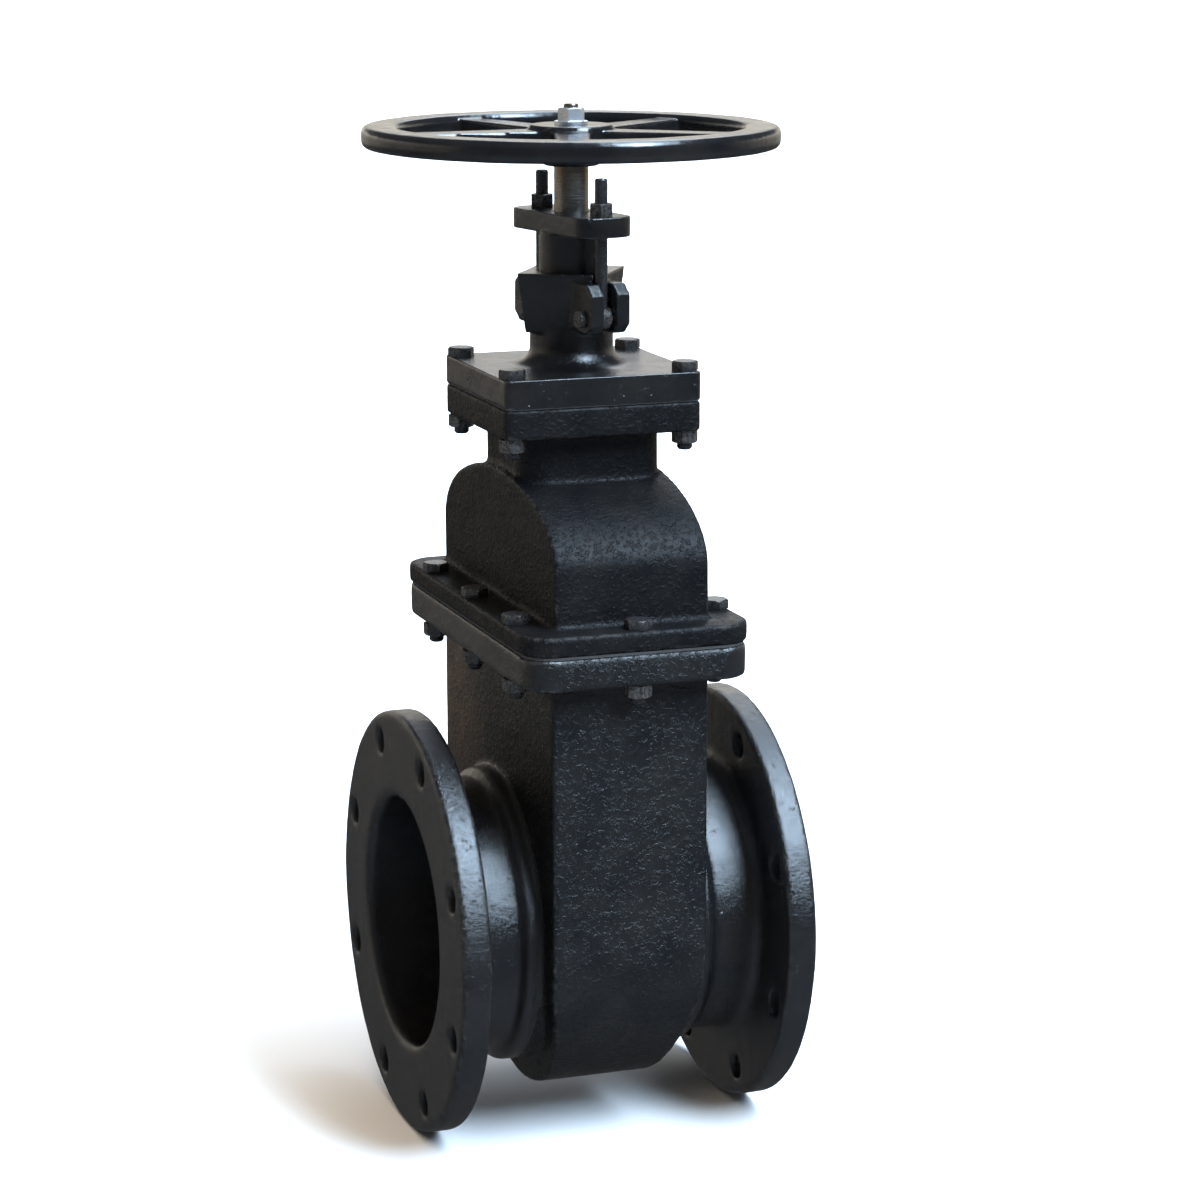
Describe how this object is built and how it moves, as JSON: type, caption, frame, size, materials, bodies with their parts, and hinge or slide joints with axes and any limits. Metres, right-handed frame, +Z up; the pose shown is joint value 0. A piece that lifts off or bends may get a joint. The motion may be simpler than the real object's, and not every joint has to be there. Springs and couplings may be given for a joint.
{
  "type": "gate valve",
  "caption": "Cast-iron gate valve with two round pipe flanges, a rectangular flanged bonnet, a bolted gland and a non-rising stem turned by a handwheel that lifts a wedge gate.",
  "frame": {"origin": "where the pipe axis crosses the stem axis, halfway between the two flange faces", "axes": "+X along the pipe from the inlet flange to the outlet flange, +Z up along the stem towards the handwheel, +Y across the pipe"},
  "size_m": [0.328, 0.3398, 0.82],
  "materials": {
    "casting_paint": "glossy black bitumen enamel over rough sand-cast iron",
    "wheel_paint": "glossy black enamel, worn where hands grip the rim",
    "fastener_paint": "black enamel brushed over hexagon bolts and nuts",
    "stem_steel": "turned and polished, slightly tarnished",
    "plated_steel": "bright zinc plating",
    "bronze": "machined gunmetal",
    "gasket": "dark compressed-fibre sheet",
    "packing": "braided graphited packing"
  },
  "bodies": {
    "valve_casing": {"body": "casting_paint", "inlet_seat_ring": "bronze", "outlet_seat_ring": "bronze", "bonnet_gasket": "gasket", "bonnet": "casting_paint", "bonnet_bolts": "fastener_paint", "bonnet_nuts": "fastener_paint", "stem_bush": "bronze", "thrust_washer": "bronze", "cover_gasket": "gasket", "stuffing_box": "casting_paint", "cover_bolts": "fastener_paint", "cover_nuts": "fastener_paint", "packing_rings": "packing", "gland": "casting_paint", "gland_eye_bolts": "fastener_paint", "gland_pins": "fastener_paint", "gland_nuts": "fastener_paint"},
    "stem_assembly": {"stem": "stem_steel", "handwheel": "wheel_paint", "handwheel_washer": "plated_steel", "handwheel_nut": "plated_steel"},
    "gate_assembly": {"gate": "casting_paint", "inlet_gate_ring": "bronze", "outlet_gate_ring": "bronze", "stem_nut": "bronze"}
  },
  "joints": [
    {"name": "stem_spin", "type": "hinge", "parent": "valve_casing", "child": "stem_assembly", "pos_m": [0, 0, 0.5], "axis": [0, 0, 1], "range_deg": [-9585, 0]},
    {"name": "gate_travel", "type": "slide", "parent": "valve_casing", "child": "gate_assembly", "axis": [0, 0, 1], "range_m": [-0.213, 0]}
  ],
  "couplings": [
    {"joint": "gate_travel", "follows": "stem_spin", "m_per_rad": 0.0012732}
  ]
}
